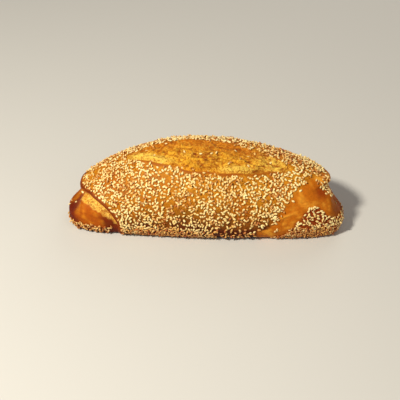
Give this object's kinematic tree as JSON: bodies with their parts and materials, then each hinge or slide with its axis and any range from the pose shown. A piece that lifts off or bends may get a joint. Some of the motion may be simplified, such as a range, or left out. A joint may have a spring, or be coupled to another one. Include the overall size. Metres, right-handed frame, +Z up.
{
  "type": "multigrain bread",
  "caption": "Whole oval crusty loaf coated in pale sesame seeds, burst open along its ridge, with a bare golden lobe of dough at each end.",
  "frame": {"origin": "middle of the flat underside that the loaf rests on", "axes": "+X runs along the loaf to its right tip as seen from the front, +Y points to the back, +Z up"},
  "size_m": [0.26, 0.1062, 0.0739],
  "materials": {
    "crust": "baked crust, satin golden brown, darker at the base and the wrap's edges",
    "sesame": "matt pale cream sesame seed, lightly toasted"
  },
  "bodies": {
    "root": {"loaf": "crust"}
  },
  "joints": []
}
